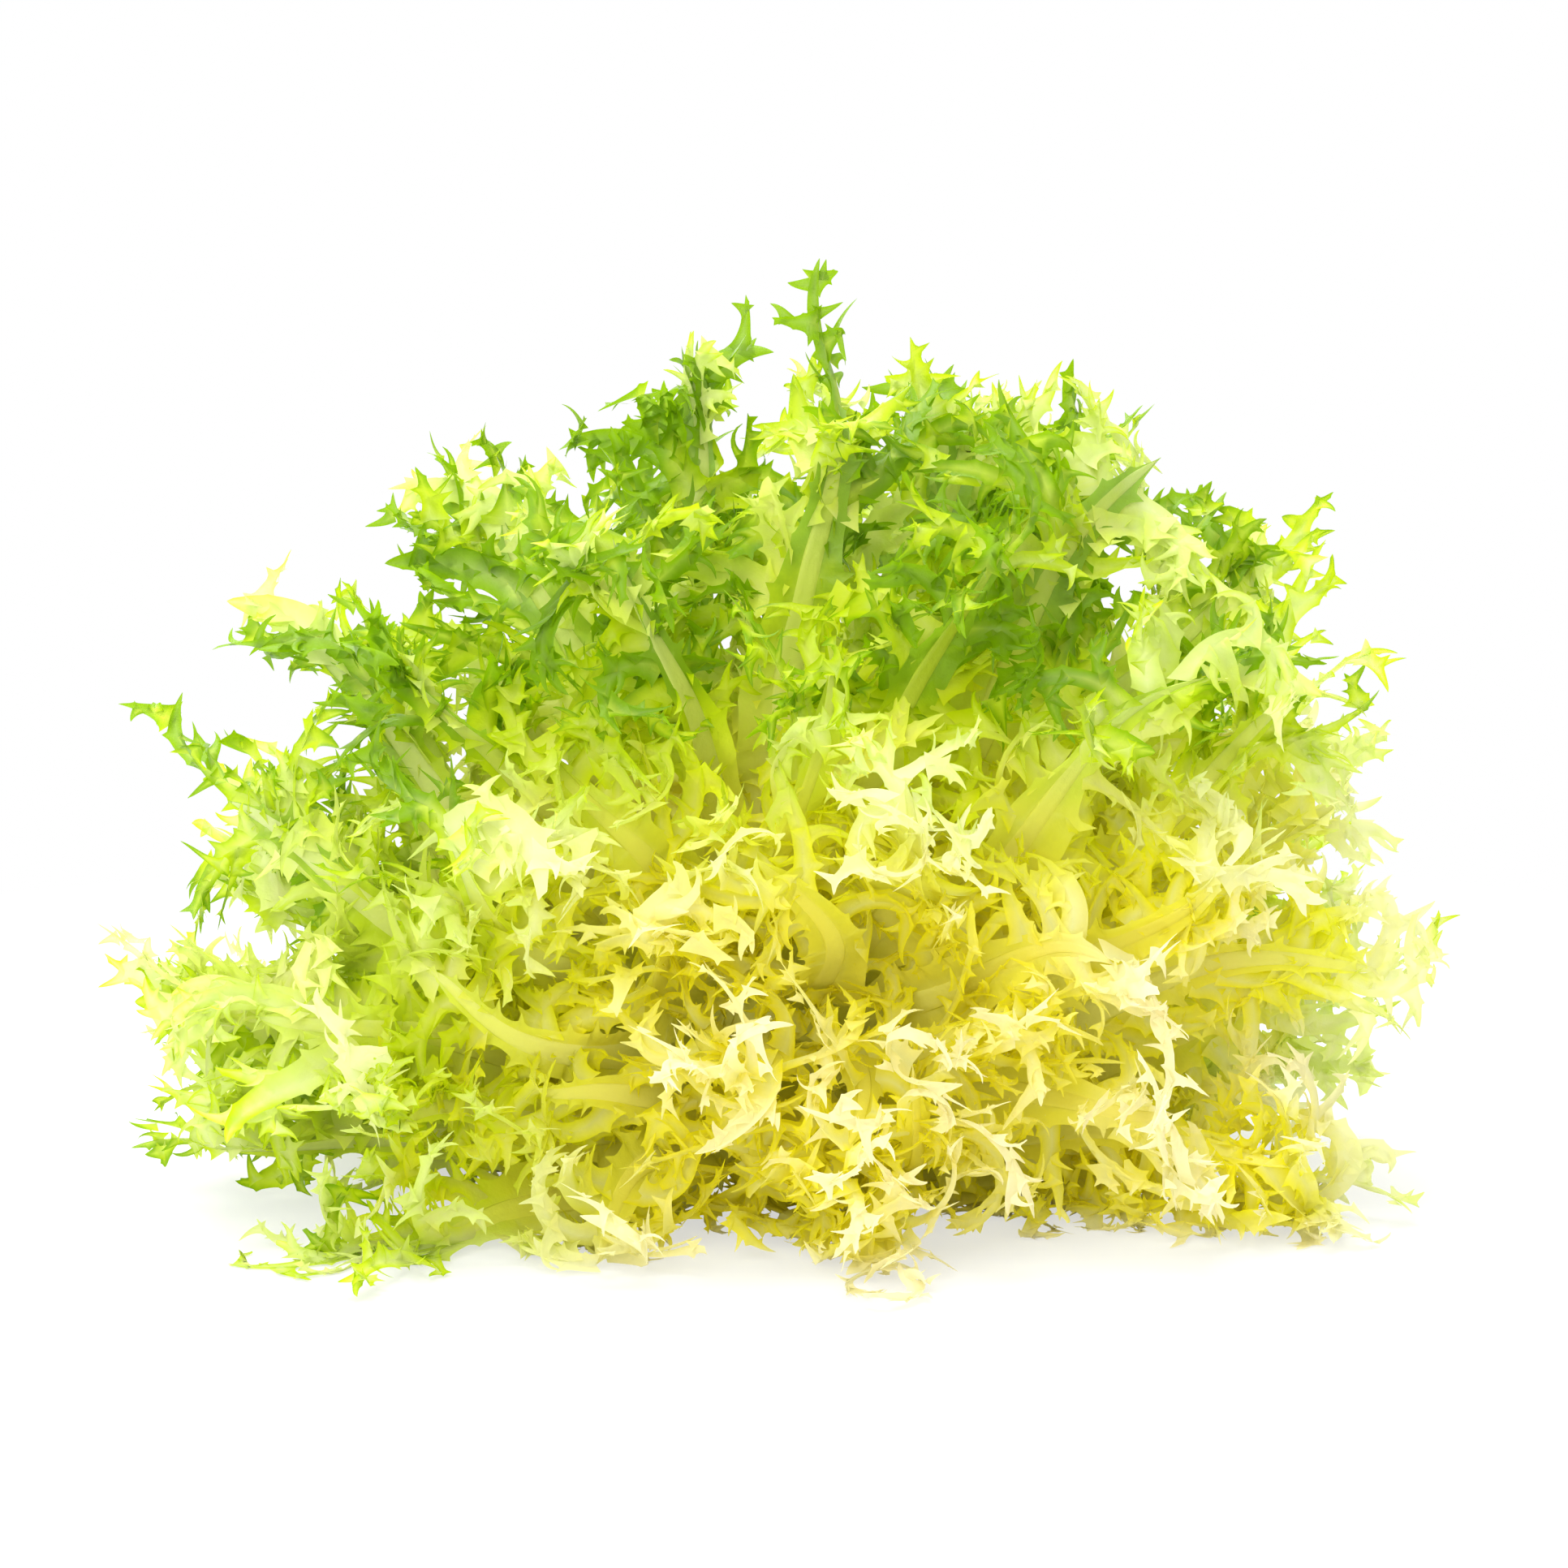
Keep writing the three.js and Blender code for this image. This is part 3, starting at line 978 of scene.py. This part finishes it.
# The core: a crown with leaf scars and a cut stem, turned about the head's axis. Angles are in
# degrees from the axis, lengths in millimetres, and the rest are shares.
coreShape = {
    "seed": 7,
    "corners": 96,
    "crownRows": 26,
    "crownFrom": 2,
    "crownTo": 118,
    "stemRows": 14,
    "stemFrom": 0.15,
    "flare": 3,  # the crown runs into the stem within a third of its length
    "faceRows": 16,
    "faceFrom": 0.97,
    "faceTo": 0.03,
    "faceRipple": 0.5,
    "faceRipples": 9,
    "scarDepth": 0.02,
    "scarsAround": 9,
    "scarStart": 1.3,
    "scarsAlong": 0.35,
    "grain": 0.002,
    "green": 0.16,
    "pale": 0.8,
    "pithGreen": 0.12,
    "pithPale": 0.7,
    "veinsAt": 0.72,
    "veinsWidth": 0.12,
    "veinsGreen": 0.4,
    "veinsPaleLoss": 0.6,
    "rindFrom": 0.9,
    "rindGreen": 0.3,
}


def growCore():
    rng = np.random.default_rng(coreShape["seed"])
    surface = Surface()
    crown, stem, length = layout["crownRadius"], layout["stemRadius"], layout["stemLength"]
    around = np.linspace(0, 2 * math.pi, coreShape["corners"], endpoint=False)
    angles = np.radians(np.linspace(coreShape["crownFrom"], coreShape["crownTo"], coreShape["crownRows"]))
    profile = [(crown * math.sin(angle), crown * math.cos(angle)) for angle in angles]
    broad, neck = profile[-1]
    for part in np.linspace(coreShape["stemFrom"], 1, coreShape["stemRows"]):
        radius = stem + (broad - stem) * max(0, 1 - part * coreShape["flare"]) ** 2
        profile.append((radius, neck + (-length - neck) * part))
    cutFace = np.linspace(coreShape["faceFrom"], coreShape["faceTo"], coreShape["faceRows"])
    for part in cutFace:
        ripple = coreShape["faceRipple"] * math.sin(part * coreShape["faceRipples"])
        profile.append((stem * part, -length + ripple))
    profile = np.array(profile)
    scars = coreShape["scarDepth"] * np.sin(coreShape["scarsAround"] * around + coreShape["scarStart"])
    scars = scars * np.sin(profile[:, 1:2] * coreShape["scarsAlong"])
    bumps = 1 + scars + rng.normal(0, coreShape["grain"], (len(profile), len(around)))
    reach = profile[:, :1] * bumps
    points = (coreCentre + headAxis * profile[:, 1, None, None]
              + headRight * (reach * np.cos(around))[..., None]
              + headUp * (reach * np.sin(around))[..., None])
    # The flesh is palest in the pith, and the veins make a greener ring in the cut.
    tint = np.full(len(profile), coreShape["green"])
    flesh = np.full(len(profile), coreShape["pale"])
    veins = np.exp(-((cutFace - coreShape["veinsAt"]) / coreShape["veinsWidth"]) ** 2)
    rind = coreShape["rindGreen"] * (cutFace > coreShape["rindFrom"])
    tint[-len(cutFace):] = coreShape["pithGreen"] + coreShape["veinsGreen"] * veins + rind
    flesh[-len(cutFace):] = coreShape["pithPale"] - coreShape["veinsPaleLoss"] * veins
    surface.addGrids(points[None, ::-1], tint[None, ::-1, None], flesh[None, ::-1, None], tube=True)
    surface.layDown()
    return surface


core = makeMesh("cut_core", growCore(), crowd, materials["core"])
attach(core, "root")
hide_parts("core")
print("core made")

# The stage, in metres, watts and degrees. The floor whitens away from the head for the camera.
studio = {
    "background": 1.0,
    "fill": 0.99,
    "lamps": [
        ("key", (-0.1, 0.0, 0.95), 0.6, 9.0),
        ("front", (-0.35, -0.95, 0.6), 0.7, 7.0),
        ("back", (-0.5, 0.8, 0.6), 0.6, 4.0),
    ],
    "floorHalf": 6.0,
    "floorColour": (0.9, 0.9, 0.9),
    "floorRoughness": 0.5,
    "floorGloss": 0.2,
    "whiteFrom": 0.15,
    "whiteTo": 0.42,
    "whiteLeast": 0.6,
    "elevation": 9.3,
    "distance": 0.938,
    "aim": (0.0, 0.0, 0.09),
    "lens": 100.0,
    "sensor": 36.0,
    "farthest": 50.0,
}


def makeFloor():
    mesh = bpy.data.meshes.new("floor")
    half = studio["floorHalf"]
    corners = [(-half, -half, 0), (half, -half, 0), (half, half, 0), (-half, half, 0)]
    mesh.from_pydata(corners, [], [(0, 1, 2, 3)])
    floor = bpy.data.objects.new("floor", mesh)
    bpy.context.scene.collection.objects.link(floor)
    material = bpy.data.materials.new("floor")
    material.use_nodes = True
    tree = material.node_tree
    matt = tree.nodes["Principled BSDF"]
    feed(tree, matt.inputs["Base Color"], studio["floorColour"])
    feed(tree, matt.inputs["Roughness"], studio["floorRoughness"])
    feed(tree, matt.inputs["Specular IOR Level"], studio["floorGloss"])
    glow = addNode(tree, "ShaderNodeEmission", Strength=studio["background"])
    rays = tree.nodes.new("ShaderNodeLightPath")
    away = tree.nodes.new("ShaderNodeVectorMath")
    away.operation = "LENGTH"
    feed(tree, away.inputs[0], tree.nodes.new("ShaderNodeTexCoord").outputs["Object"])
    whitening = addNode(tree, "ShaderNodeMapRange", From_Min=studio["whiteFrom"], From_Max=studio["whiteTo"],
                        To_Min=studio["whiteLeast"], To_Max=1.0)
    feed(tree, whitening.inputs["Value"], away.outputs["Value"])
    share = calculate(tree, "MULTIPLY", rays.outputs["Is Camera Ray"], whitening.outputs["Result"])
    mixShaders(tree, share, matt, glow, tree.nodes["Material Output"])
    mesh.materials.append(material)


# The world lights the head at one strength, and the camera sees it at another.
def makeWorld():
    world = bpy.data.worlds.new("studio")
    world.use_nodes = True
    tree = world.node_tree
    lit = tree.nodes["Background"]
    feed(tree, lit.inputs["Strength"], studio["fill"])
    seen = addNode(tree, "ShaderNodeBackground", Strength=studio["background"])
    for shader in (lit, seen):
        feed(tree, shader.inputs["Color"], (1.0, 1.0, 1.0))
    rays = tree.nodes.new("ShaderNodeLightPath")
    mixShaders(tree, rays.outputs["Is Camera Ray"], lit, seen, tree.nodes["World Output"])
    bpy.context.scene.world = world


def pointAt(item, target):
    item.rotation_euler = (Vector(target) - item.location).to_track_quat("-Z", "Y").to_euler()


def makeLamps():
    for name, place, size, power in studio["lamps"]:
        lamp = bpy.data.lights.new(name, "AREA")
        lamp.size = size
        lamp.energy = power
        item = bpy.data.objects.new(name, lamp)
        item.location = place
        pointAt(item, studio["aim"])
        bpy.context.scene.collection.objects.link(item)


def makeCamera():
    camera = bpy.data.cameras.new("camera")
    camera.lens = studio["lens"]
    camera.sensor_width = studio["sensor"]
    camera.clip_end = studio["farthest"]
    item = bpy.data.objects.new("camera", camera)
    rise = math.radians(studio["elevation"])
    aim = Vector(studio["aim"])
    item.location = aim + Vector((0, -math.cos(rise), math.sin(rise))) * studio["distance"]
    pointAt(item, aim)
    bpy.context.scene.collection.objects.link(item)
    bpy.context.scene.camera = item


makeFloor()
makeWorld()
makeLamps()
makeCamera()
bpy.context.scene.view_settings.view_transform = "Standard"
print("stage set")
